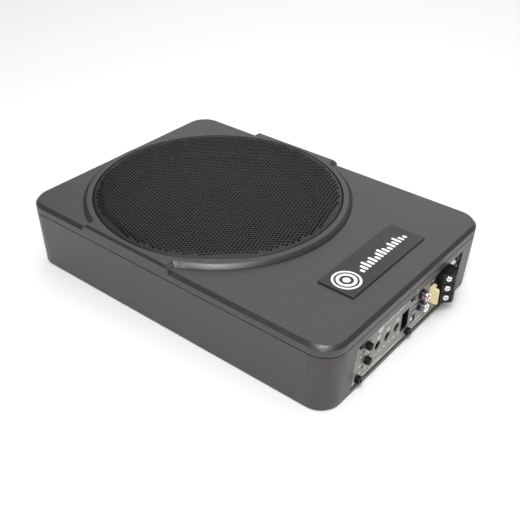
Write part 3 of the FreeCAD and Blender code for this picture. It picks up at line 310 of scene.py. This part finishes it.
FINISHES = {
    "cast_shell": textured_paint("cast_shell", (0.0145, 0.0115, 0.009), (0.031, 0.0255, 0.0205), 0.38),
    "cover_paint": textured_paint("cover_paint", (0.0115, 0.0115, 0.012), (0.025, 0.025, 0.026), 0.38),
    "seal_rubber": soft_rubber("seal_rubber", (0.008, 0.008, 0.008), 0.8),
    "black_steel": satin_black("black_steel", (0.004, 0.004, 0.0045), (0.012, 0.012, 0.013), 0.3, 0.3),
    "grille_steel": satin_black("grille_steel", (0.007, 0.007, 0.0073), (0.016, 0.016, 0.017), 0.42, 0.45),
    "badge_metal": brushed_plate("badge_metal", (0.006, 0.006, 0.0063), (0.015, 0.015, 0.016), 0.36, 1, 0.0),
    "panel_plate": brushed_plate("panel_plate", (0.29, 0.285, 0.262), (0.22, 0.215, 0.198), 0.42, 1, 0.35),
    "basket_steel": satin_black("basket_steel", (0.022, 0.022, 0.024), (0.05, 0.05, 0.054)),
    "cone_paper": paper_cone(),
    "surround_rubber": soft_rubber("surround_rubber", (0.022, 0.022, 0.023), 0.45),
    "spider_cloth": woven_cloth(),
    "foam": open_foam(),
    "ferrite": sintered_ferrite(),
    "plated_steel": plated_metal("plated_steel", (0.6, 0.6, 0.58), 0.35),
    "bright_steel": bright_metal("bright_steel", (0.8, 0.8, 0.8), 0.16),
    "black_plastic": moulded_plastic("black_plastic", (0.005, 0.005, 0.0053), 0.4, 0.35),
    "ivory_plastic": moulded_plastic("ivory_plastic", (0.8, 0.7, 0.42), 0.4),
    "red_plastic": gloss_plastic("red_plastic", (0.72, 0.04, 0.015)),
    "white_plastic": gloss_plastic("white_plastic", (0.86, 0.86, 0.84)),
    "tinned_brass": bright_metal("tinned_brass", (0.75, 0.68, 0.5), 0.25),
    "copper": copper_winding(),
    "board_laminate": board_laminate(),
    "capacitor_sleeve": gloss_plastic("capacitor_sleeve", (0.03, 0.03, 0.05), 0.25),
    "plain_aluminium": turned_aluminium(),
    "lamp_lens": smoked_lens(),
    "wire_sleeve": soft_rubber("wire_sleeve", (0.3, 0.02, 0.02), 0.5),
    "tape": soft_rubber("tape", (0.012, 0.012, 0.012), 0.8),
}
WHITE_PRINT = screen_print("white_print", (0.85, 0.85, 0.84))
DARK_LABEL = screen_print("dark_label", (0.008, 0.009, 0.016))
BLUE_LABEL = screen_print("blue_label", (0.05, 0.054, 0.1))
PALE_STRIP = screen_print("pale_strip", (0.42, 0.4, 0.38))

for row in frame["record"]["subparts"]:
    node = frame["nodes"][row["node"]]
    node.data.materials.clear()
    node.data.materials.append(FINISHES[row["material_slot"]])

# ---- mesh helpers ----


def new_object(name, points_mm, faces, material, smooth=True, body="housing"):
    mesh = bpy.data.meshes.new(name)
    mesh.from_pydata([Vector(p) * MM for p in points_mm], [], faces)
    mesh.validate()
    mesh.polygons.foreach_set("use_smooth", [smooth] * len(mesh.polygons))
    mesh.materials.append(material)
    obj = bpy.data.objects.new(name, mesh)
    bpy.context.scene.collection.objects.link(obj)
    if body:
        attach(obj, body)
    return obj


def sharpen(obj, degrees):
    """Marks the edges that are bent by more than an angle as sharp."""
    mesh = bmesh.new()
    mesh.from_mesh(obj.data)
    for edge in mesh.edges:
        if len(edge.link_faces) == 2:
            edge.smooth = edge.calc_face_angle(0.0) < math.radians(degrees)
    mesh.to_mesh(obj.data)
    mesh.free()


class Prints:
    """Thin flat shapes drawn on a plane, gathered into one mesh. Lengths in mm."""

    def __init__(self, origin, u, v, thick):
        self.origin, self.u, self.v = Vector(origin), Vector(u), Vector(v)
        self.out = self.u.cross(self.v)
        self.thick = thick
        self.points, self.faces = [], []

    def at(self, u, v, lift):
        return self.origin + self.u * u + self.v * v + self.out * lift

    def add_loop(self, loop, lift):
        base = len(self.points)
        self.points += [self.at(u, v, lift) for u, v in loop]
        return base

    def join(self, a, b, n):
        """Faces between two loops of n points."""
        for i in range(n):
            j = (i + 1) % n
            self.faces.append((a + i, a + j, b + j, b + i))

    def filled(self, loop):
        n = len(loop)
        top = self.add_loop(loop, self.thick)
        low = self.add_loop(loop, 0.0)
        self.join(top, low, n)
        self.faces.append(tuple(range(top, top + n)))
        self.faces.append(tuple(range(low, low + n)))

    def band(self, inner, outer):
        n = len(inner)
        top_inner = self.add_loop(inner, self.thick)
        top_outer = self.add_loop(outer, self.thick)
        low_inner = self.add_loop(inner, 0.0)
        low_outer = self.add_loop(outer, 0.0)
        self.join(top_inner, top_outer, n)
        self.join(low_inner, low_outer, n)
        self.join(top_inner, low_inner, n)
        self.join(top_outer, low_outer, n)

    def rect(self, u, v, width, height):
        w, h = width / 2, height / 2
        self.filled([(u - w, v - h), (u + w, v - h), (u + w, v + h), (u - w, v + h)])

    def pill(self, u, v, width, height):
        """Rectangle with round ends in u or v."""
        r = min(width, height) / 2
        w, h = width / 2 - r, height / 2 - r
        loop = []
        for quarter, (su, sv) in enumerate(((1, 1), (-1, 1), (-1, -1), (1, -1))):
            for i in range(5):
                a = math.radians(90 * quarter + 22.5 * i)
                loop.append((u + su * w + r * math.cos(a), v + sv * h + r * math.sin(a)))
        self.filled(loop)

    @staticmethod
    def circle(u, v, radius, steps):
        turn = 2 * math.pi / steps
        return [(u + radius * math.cos(turn * i), v + radius * math.sin(turn * i)) for i in range(steps)]

    def disc(self, u, v, radius, steps=28):
        self.filled(self.circle(u, v, radius, steps))

    def ring(self, u, v, inner, outer, steps=48):
        self.band(self.circle(u, v, inner, steps), self.circle(u, v, outer, steps))

    def build(self, name, material):
        obj = new_object(name, self.points, self.faces, material, smooth=False)
        mesh = bmesh.new()
        mesh.from_mesh(obj.data)
        bmesh.ops.recalc_face_normals(mesh, faces=mesh.faces)
        mesh.to_mesh(obj.data)
        mesh.free()
        return obj


# ---- perforated grille ----
PITCH = 3.68                # between holes of the staggered pattern
HOLE_R = 1.52
HOLE_SIDES = 10
ROW_ANGLE = 45.0            # direction of one of the three families of rows
MESH_R = 116.1              # no hole reaches past this
MARGIN_R = 116.85           # end of the plain margin
SHEET = 1.0
TOP_Z = 75.0
CROWN = 0.6
FLAT_R = 106.5
BAND_TILT = math.radians(17.2)
BEND_R = 16.0
SKIRT_R = 118.9
EDGE_R = 2.4
SEAT_Z = 62.0
RIM_STEPS = 240

BALL_R = (FLAT_R ** 2 + CROWN ** 2) / (2 * CROWN)
FLAT_TILT = math.asin(FLAT_R / BALL_R)
BEND_CENTRE = (FLAT_R - BEND_R * math.sin(FLAT_TILT), TOP_Z - CROWN - BEND_R * math.cos(FLAT_TILT))
BAND_START = (BEND_CENTRE[0] + BEND_R * math.sin(BAND_TILT), BEND_CENTRE[1] + BEND_R * math.cos(BAND_TILT))
EDGE_CENTRE_R = SKIRT_R - EDGE_R


def sheet_top(r):
    """Height of the outer face of the grille at radius r, up to the rounded edge."""
    if r <= FLAT_R:
        return TOP_Z - BALL_R + math.sqrt(BALL_R ** 2 - r * r)
    if r <= BAND_START[0]:
        return BEND_CENTRE[1] + math.sqrt(BEND_R ** 2 - (r - BEND_CENTRE[0]) ** 2)
    return BAND_START[1] - (r - BAND_START[0]) * math.tan(BAND_TILT)


def polar(radius, angle):
    return Vector((math.cos(angle), math.sin(angle))) * radius


STEP_A = polar(PITCH, math.radians(ROW_ANGLE))
STEP_B = polar(PITCH, math.radians(ROW_ANGLE + 60))
RING = [polar(1.0, 2 * math.pi * i / RIM_STEPS) for i in range(RIM_STEPS)]


def hole_pattern():
    """Plan of the pattern: one hexagon with a round hole for each place of the staggered rows.

    Gives the points, the faces, the first rim point of each hole, the places in use and the outline.
    """
    angles = [math.radians(ROW_ANGLE + 30 + 60 * k) for k in range(6)]
    spokes = [polar(PITCH / math.sqrt(3), a) for a in angles]
    hole_turn = 2 * math.pi / HOLE_SIDES
    first_of = [round((a - angles[0]) / hole_turn) for a in angles] + [HOLE_SIDES]
    rim = [polar(HOLE_R, angles[0] + hole_turn * m) for m in range(HOLE_SIDES)]
    flat, faces, holes, places = [], [], [], set()
    corner_index, edges = {}, {}    # edges is a dict for its order

    def corner(point):
        key = (round(point.x, 3), round(point.y, 3))
        if key not in corner_index:
            corner_index[key] = len(flat)
            flat.append(point)
        return corner_index[key]

    reach = int(MESH_R / PITCH * 1.2) + 2
    for i in range(-reach, reach + 1):
        for j in range(-reach, reach + 1):
            centre = STEP_A * i + STEP_B * j
            if centre.length + HOLE_R > MESH_R:
                continue
            places.add((i, j))
            corners = [corner(centre + spoke) for spoke in spokes]
            base = len(flat)
            flat.extend(centre + point for point in rim)
            holes.append(base)
            for k in range(6):
                a, b = corners[k], corners[(k + 1) % 6]
                inner = [base + m % HOLE_SIDES for m in range(first_of[k + 1], first_of[k] - 1, -1)]
                faces.append([a, b] + inner)
                edges[(a, b)] = True
    outline = [(a, b) for a, b in edges if (b, a) not in edges]
    return flat, faces, holes, places, outline


def plain_margin(flat, places, outline):
    """Faces between the jagged outline of the pattern and a circle, whose points are added to flat."""
    used = sorted({v for edge in outline for v in edge})
    local = {v: i for i, v in enumerate(used)}
    n = len(used)
    points = [flat[v] for v in used] + [d * MARGIN_R for d in RING]
    edges = [(local[a], local[b]) for a, b in outline]
    edges += [(n + i, n + (i + 1) % RIM_STEPS) for i in range(RIM_STEPS)]
    found_points, _, found_faces, sources, _, _ = delaunay_2d_cdt(points, edges, [], 0, 1e-5)
    ring_base = len(flat)
    flat.extend(d * MARGIN_R for d in RING)

    def original(index):
        source = sources[index][0]
        return used[source] if source < n else ring_base + source - n

    across = Matrix(((STEP_A.x, STEP_B.x), (STEP_A.y, STEP_B.y))).inverted()

    def in_pattern(point):
        guess = across @ point
        near = [(math.floor(guess.x) + a, math.floor(guess.y) + b) for a in (0, 1) for b in (0, 1)]
        best = min(near, key=lambda c: (STEP_A * c[0] + STEP_B * c[1] - point).length)
        return best in places

    faces = []
    for face in found_faces:
        middle = sum((found_points[v] for v in face), Vector((0, 0))) / len(face)
        if middle.length < MARGIN_R and not in_pattern(middle):
            a, b, c = (found_points[v] for v in face)
            order = face if (b - a).cross(c - a) > 0 else face[::-1]
            faces.append([original(v) for v in order])
    return faces, ring_base


def skirt_line():
    """Section from the margin over the rounded edge, down the skirt and back up inside."""
    start_z = sheet_top(EDGE_CENTRE_R + EDGE_R * math.sin(BAND_TILT))
    centre_z = start_z - EDGE_R * math.cos(BAND_TILT)
    lines = []
    for radius in (EDGE_R, EDGE_R - SHEET):
        line = []
        for i in range(6):
            a = BAND_TILT + (math.pi / 2 - BAND_TILT) * i / 5
            line.append((EDGE_CENTRE_R + radius * math.sin(a), centre_z + radius * math.cos(a)))
        line.append((EDGE_CENTRE_R + radius, SEAT_Z))
        lines.append(line)
    return lines[0] + lines[1][::-1]


def perforated_sheet():
    """Sheet with round holes in a staggered pattern, a plain margin, a rounded edge and the skirt."""
    flat, top_faces, holes, places, outline = hole_pattern()
    margin_faces, ring_base = plain_margin(flat, places, outline)
    top_faces += margin_faces
    count = len(flat)
    verts = [(DRIVER_X + p.x, p.y, sheet_top(p.length)) for p in flat]
    verts += [(DRIVER_X + p.x, p.y, sheet_top(p.length) - SHEET) for p in flat]
    faces = list(top_faces) + [[v + count for v in face[::-1]] for face in top_faces]
    for base in holes:
        for m in range(HOLE_SIDES):
            a, b = base + m, base + (m + 1) % HOLE_SIDES
            faces.append([a, b, b + count, a + count])
    loops = [ring_base]
    for r, z in skirt_line():
        loops.append(len(verts))
        verts += [(DRIVER_X + d.x * r, d.y * r, z) for d in RING]
    loops.append(ring_base + count)
    for a, b in zip(loops, loops[1:]):
        for i in range(RIM_STEPS):
            j = (i + 1) % RIM_STEPS
            faces.append([a + i, b + i, b + j, a + j])
    return verts, faces


points, faces = perforated_sheet()
grille = new_object("grille_perforated", points, faces, FINISHES["grille_steel"])
sharpen(grille, 40)
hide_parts("grille")

# ---- surround and spider, built in sectors; the real ones stretch as the cone moves ----
SECTORS = 16
SECTOR_STEPS = 6
CLOTH_T = 0.7


def ring_sectors(node, slot, line):
    """A thin turned ring in sectors, each running from the housing to the cone along its own radius."""
    outer = [(r, z + CLOTH_T) for r, z in line]
    section = outer + line[::-1]
    n = len(section)
    for sector in range(SECTORS):
        start = 2 * math.pi * sector / SECTORS
        verts, faces = [], []
        for i in range(SECTOR_STEPS + 1):
            a = start + 2 * math.pi * i / SECTORS / SECTOR_STEPS
            verts += [(DRIVER_X + r * math.cos(a), r * math.sin(a), z) for r, z in section]
        for i in range(SECTOR_STEPS):
            for k in range(n):
                m = (k + 1) % n
                faces.append([i * n + k, (i + 1) * n + k, (i + 1) * n + m, i * n + m][::-1])
        obj = new_object("%s_sector_%02d" % (node, sector + 1), verts, faces, FINISHES[slot], body=None)
        sharpen(obj, 50)
        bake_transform(obj)
        if sector == 0:
            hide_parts(node)


ROLL_CENTRE_R = 97.0
ROLL_R = 6.65
ROLL_STEPS = 16
FLANGE_TOP_Z = 57.5
roll_line = [(86.8, FLANGE_TOP_Z), (88.6, FLANGE_TOP_Z)]
for i in range(ROLL_STEPS + 1):
    a = math.pi - math.pi * i / ROLL_STEPS
    roll_line.append((ROLL_CENTRE_R + ROLL_R * math.cos(a), FLANGE_TOP_Z + ROLL_R * math.sin(a)))
roll_line += [(106.0, FLANGE_TOP_Z), (108.25, FLANGE_TOP_Z)]
ring_sectors("surround", "surround_rubber", roll_line)

SPIDER_Z = 34.2
WAVES = 4
WAVE_HALF_HEIGHT = 1.6
WAVE_STEPS = 48
wave_line = [(25.55, SPIDER_Z)]
for i in range(WAVE_STEPS + 1):
    height = WAVE_HALF_HEIGHT * math.sin(2 * math.pi * WAVES * i / WAVE_STEPS)
    wave_line.append((29.0 + 35.0 * i / WAVE_STEPS, SPIDER_Z - height))
wave_line.append((72.8, SPIDER_Z))
ring_sectors("spider", "spider_cloth", wave_line)

# ---- badge mark: a ringed dot and a row of level bars ----
BADGE_X = 131.5
BADGE_TOP_Z = 68.7
DOT_Y = -41.0
BAR_FOOT = 5.5
BAR_WIDTH = 2.9
BAR_PITCH = 4.9
FIRST_BAR_Y = -21.5
BAR_LENGTHS = (5.0, 8.2, 10.6, 7.4, 9.6, 6.0, 8.8, 10.6, 8.0, 5.6, 9.2, 7.0, 10.0, 6.4, 4.6)

mark = Prints((BADGE_X, 0.0, BADGE_TOP_Z), (1, 0, 0), (0, 1, 0), 0.08)
mark.ring(0.0, DOT_Y, 10.9, 12.9)
mark.ring(0.0, DOT_Y, 6.2, 9.0)
mark.disc(0.0, DOT_Y, 3.4)
for i, length in enumerate(BAR_LENGTHS):
    mark.pill(BAR_FOOT - length / 2, FIRST_BAR_Y + BAR_PITCH * i, length, BAR_WIDTH)
mark.build("badge_mark", WHITE_PRINT)

# ---- printing on the control panel ----
PANEL_X = 171.5             # outer face of the panel
LEGEND_T = 0.05
LABEL_T = 0.04
STRIP_T = 0.03
LOGO_Y, LOGO_Z = -46.8, 42.4
TITLE_Y, TITLE_Z = -40.4, 43.3
KNOB_Y = (-49.5, -34.5, -19.5)
SMALL_LEGENDS = (
    (-66.0, 46.0, 4.0), (-61.5, 44.6, 3.4), (-60.5, 46.2, 2.0), (-75.6, 31.0, 3.0), (-66.5, 31.2, 2.6),
    (-63.6, 28.6, 3.8), (-67.8, 28.9, 1.6), (-75.8, 21.4, 3.0), (-75.0, 14.4, 3.4), (-66.4, 14.8, 2.8),
    (-62.6, 17.0, 3.2), (-61.8, 13.0, 2.2), (-66.8, 12.6, 1.8),
)
SWITCH_LEGENDS = (
    (16.0, 13.6, 3.0), (20.5, 13.6, 3.6), (12.8, 46.6, 3.0), (17.6, 46.6, 4.0), (26.4, 21.2, 2.4),
)
LABEL_ROWS = (
    (39.9, 42.0, 5.4, 1.0), (45.6, 45.6, 3.4, 0.8), (77.2, 41.4, 12.0, 6.0),
    (86.2, 42.6, 3.6, 0.9), (86.0, 40.4, 2.8, 0.9), (86.4, 33.0, 3.4, 0.9), (86.0, 24.0, 3.0, 0.9),
    (6.2, 30.4, 0.8, 2.0), (8.6, 30.4, 0.8, 2.0), (11.0, 30.4, 0.8, 2.0), (13.4, 30.4, 0.8, 2.0),
    (9.8, 25.2, 6.4, 0.8),
)


def panel_prints(thick, lift=0.0):
    """Prints on the panel's outer face, with u along the frame's y and v along its z."""
    return Prints((PANEL_X + lift, 0.0, 0.0), (0, 1, 0), (0, 0, 1), thick)


def bar_row(prints, u, v, widths, gap, height):
    """Level bars one after the other, in place of a line of text."""
    for width in widths:
        prints.rect(u + width / 2, v, width, height)
        u += width + gap


legend = panel_prints(LEGEND_T)
legend.ring(LOGO_Y, LOGO_Z, 2.5, 3.9, 28)
legend.disc(LOGO_Y, LOGO_Z, 1.5, 16)
for i, width in enumerate((2.6, 1.6, 2.2, 2.8, 1.8, 2.4, 2.0, 2.6, 1.7)):
    legend.rect(TITLE_Y + 3.9 * i, TITLE_Z, width, 1.6)
for y in KNOB_Y:
    bar_row(legend, y - 2.2, 35.4, (2.4, 1.8), 0.7, 0.9)
    bar_row(legend, y - 2.2, 33.2, (1.6, 2.6), 0.7, 0.9)
    legend.rect(y - 3.7, 18.4, 2.8, 0.8)
    legend.rect(y + 3.7, 18.4, 2.8, 0.8)
for y, z, width in SMALL_LEGENDS:
    legend.rect(y, z, width, 0.85)
bar_row(legend, -61.6, 10.2, (2.2, 1.4, 2.8, 1.0, 2.4, 3.0, 1.6), 0.75, 1.1)
legend.rect(-37.4, 8.0, 65.0, 0.7)
legend.rect(20.0, 8.0, 28.0, 0.5)
for y, z, width in SWITCH_LEGENDS:
    legend.rect(y, z, width, 0.9)
legend.build("panel_legend", WHITE_PRINT)

dark = panel_prints(LABEL_T)
dark.rect(42.6, 41.6, 14.0, 12.4)
dark.rect(78.0, 27.5, 18.4, 43.2)
dark.build("dark_label", DARK_LABEL)
blue = panel_prints(LABEL_T)
blue.rect(10.6, 28.2, 13.0, 9.6)
blue.build("switch_label", BLUE_LABEL)
marks = panel_prints(LABEL_T, LABEL_T)
for row in LABEL_ROWS:
    marks.rect(*row)
marks.build("label_marks", WHITE_PRINT)
strip = panel_prints(STRIP_T)
strip.rect(-85.1, 27.4, 4.2, 43.0)
strip.build("panel_strip", PALE_STRIP)

# ---- knurled socket head screws along the foot of the panel ----
KNURLS = 30
HEAD_R = 3.5
HEAD_LENGTH = 4.4
SOCKET_FLOOR = 2.2
SOCKET_R = 1.75
SHANK_R = 2.0
SHANK_LENGTH = 8.0
CAP_SCREW_Y = (-79.5, -0.7, 78.1)
CAP_SCREW_Z = 11.3


def cap_screw(y, z):
    """Points and faces of one screw. Its section runs from the socket's floor over the head to the shank."""
    n = KNURLS * 2
    verts, faces = [], []
    rings = []

    def ring(x, radius, depth=0.0, hexagonal=False):
        base = len(verts)
        for i in range(n):
            a = 2 * math.pi * i / n
            r = radius - (depth if i % 2 else 0.0)
            if hexagonal:
                r = radius * math.cos(math.pi / 6) / math.cos((a + math.pi / 6) % (math.pi / 3) - math.pi / 6)
            verts.append((PANEL_X + x, y + r * math.cos(a), z + r * math.sin(a)))
        rings.append(base)

    ring(SOCKET_FLOOR, SOCKET_R, hexagonal=True)
    ring(HEAD_LENGTH - 0.15, SOCKET_R, hexagonal=True)
    ring(HEAD_LENGTH, SOCKET_R + 0.2, hexagonal=True)
    ring(HEAD_LENGTH, HEAD_R - 0.55)
    ring(HEAD_LENGTH - 0.12, HEAD_R - 0.3)
    ring(HEAD_LENGTH - 0.5, HEAD_R - 0.12)
    ring(HEAD_LENGTH - 0.7, HEAD_R, 0.22)
    ring(1.0, HEAD_R, 0.22)
    ring(0.7, HEAD_R - 0.12)
    ring(0.0, HEAD_R - 0.12)
    ring(0.0, SHANK_R)
    ring(-SHANK_LENGTH, SHANK_R)
    for a, b in zip(rings, rings[1:]):
        for i in range(n):
            j = (i + 1) % n
            faces.append([a + i, a + j, b + j, b + i][::-1])
    faces.append([rings[0] + i for i in range(n)])
    faces.append([rings[-1] + i for i in range(n)][::-1])
    return verts, faces


verts, faces = [], []
for y in CAP_SCREW_Y:
    more, loops = cap_screw(y, CAP_SCREW_Z)
    faces += [[v + len(verts) for v in loop] for loop in loops]
    verts += more
cap_screws = new_object("cap_screws_knurled", verts, faces, FINISHES["black_steel"])
sharpen(cap_screws, 30)
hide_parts("panel_cap_screws")

# ---- softened edges on the carried-over solids ----
for name, width in (
    ("top_cover", 0.45), ("lower_shell", 0.5), ("terminal_block", 0.09), ("speaker_header", 0.25),
    ("badge_plate", 0.12), ("control_panel", 0.1), ("phase_switch_slider", 0.2),
    ("source_switch_slider", 0.2), ("rca_shells", 0.12), ("rca_body", 0.15),
    ("range_switch_slider", 0.15), ("remote_jack_body", 0.15),
):
    node = frame["nodes"][name]
    weld = node.modifiers.new("weld", "WELD")
    weld.merge_threshold = 2e-6
    bevel = node.modifiers.new("bevel", "BEVEL")
    bevel.width = width * MM
    bevel.segments = 2
    bevel.limit_method = "ANGLE"
    bevel.angle_limit = math.radians(35)
    bevel.use_clamp_overlap = True

# ---- floor, light and camera ----
floor_finish = Finish("floor", (0.86, 0.86, 0.86), 0.7)
floor_finish.tint(floor_finish.remap(floor_finish.noise(3.0, 2.0), 0.3, 0.7, 0.0, 0.2), (0.84, 0.84, 0.84))
bpy.ops.mesh.primitive_plane_add(size=12.0, location=(0, 0, 0))
floor = bpy.context.object
floor.name = "floor"
floor.data.materials.append(floor_finish.material)


LIGHT_AIM = Vector((0.0, 0.0, 0.04))


def softbox(name, direction, distance, size, power):
    light = bpy.data.lights.new(name, "AREA")
    light.shape = "RECTANGLE"
    light.size, light.size_y = size
    light.energy = power
    obj = bpy.data.objects.new(name, light)
    out = Vector(direction).normalized()
    obj.location = LIGHT_AIM + out * distance
    obj.rotation_euler = out.to_track_quat("Z", "Y").to_euler()
    obj.visible_camera = False
    bpy.context.scene.collection.objects.link(obj)


softbox("key", (0.35, -0.52, 0.79), 1.5, (0.5, 0.5), 17.3)
softbox("back", (-0.51, 0.64, 0.6), 1.7, (1.5, 1.1), 2.6)
softbox("back_low", (-0.51, 0.64, 0.25), 1.7, (1.5, 0.5), 1.4)
softbox("top", (0.0, 0.1, 1.0), 1.8, (2.4, 2.4), 25.5)
softbox("far_back", (0.1, 0.9, 0.5), 1.8, (1.6, 0.8), 3.0)

world = bpy.data.worlds.new("studio")
world.use_nodes = True
background = next(n for n in world.node_tree.nodes if n.type == "BACKGROUND")
background.inputs["Color"].default_value = (1.0, 1.0, 1.0, 1.0)
background.inputs["Strength"].default_value = 0.25
bpy.context.scene.world = world
bpy.context.scene.view_settings.view_transform = "Standard"

yaw, elevation, roll = math.radians(37.906), math.radians(34.509), math.radians(1.228)
right = Vector((math.cos(yaw), math.sin(yaw), 0.0))
up = Vector((-math.sin(yaw) * math.sin(elevation), math.cos(yaw) * math.sin(elevation), math.cos(elevation)))
back = right.cross(up)
camera_data = bpy.data.cameras.new("camera")
camera_data.sensor_width = 36.0
camera_data.lens = 55.574
camera_data.clip_start = 0.01
camera = bpy.data.objects.new("camera", camera_data)
bpy.context.scene.collection.objects.link(camera)
turned_right = right * math.cos(roll) + up * math.sin(roll)
turned_up = up * math.cos(roll) - right * math.sin(roll)
camera.matrix_world = Matrix((
    (turned_right.x, turned_up.x, back.x, 0.402372),
    (turned_right.y, turned_up.y, back.y, -0.504593),
    (turned_right.z, turned_up.z, back.z, 0.452648),
    (0.0, 0.0, 0.0, 1.0),
))
bpy.context.scene.camera = camera
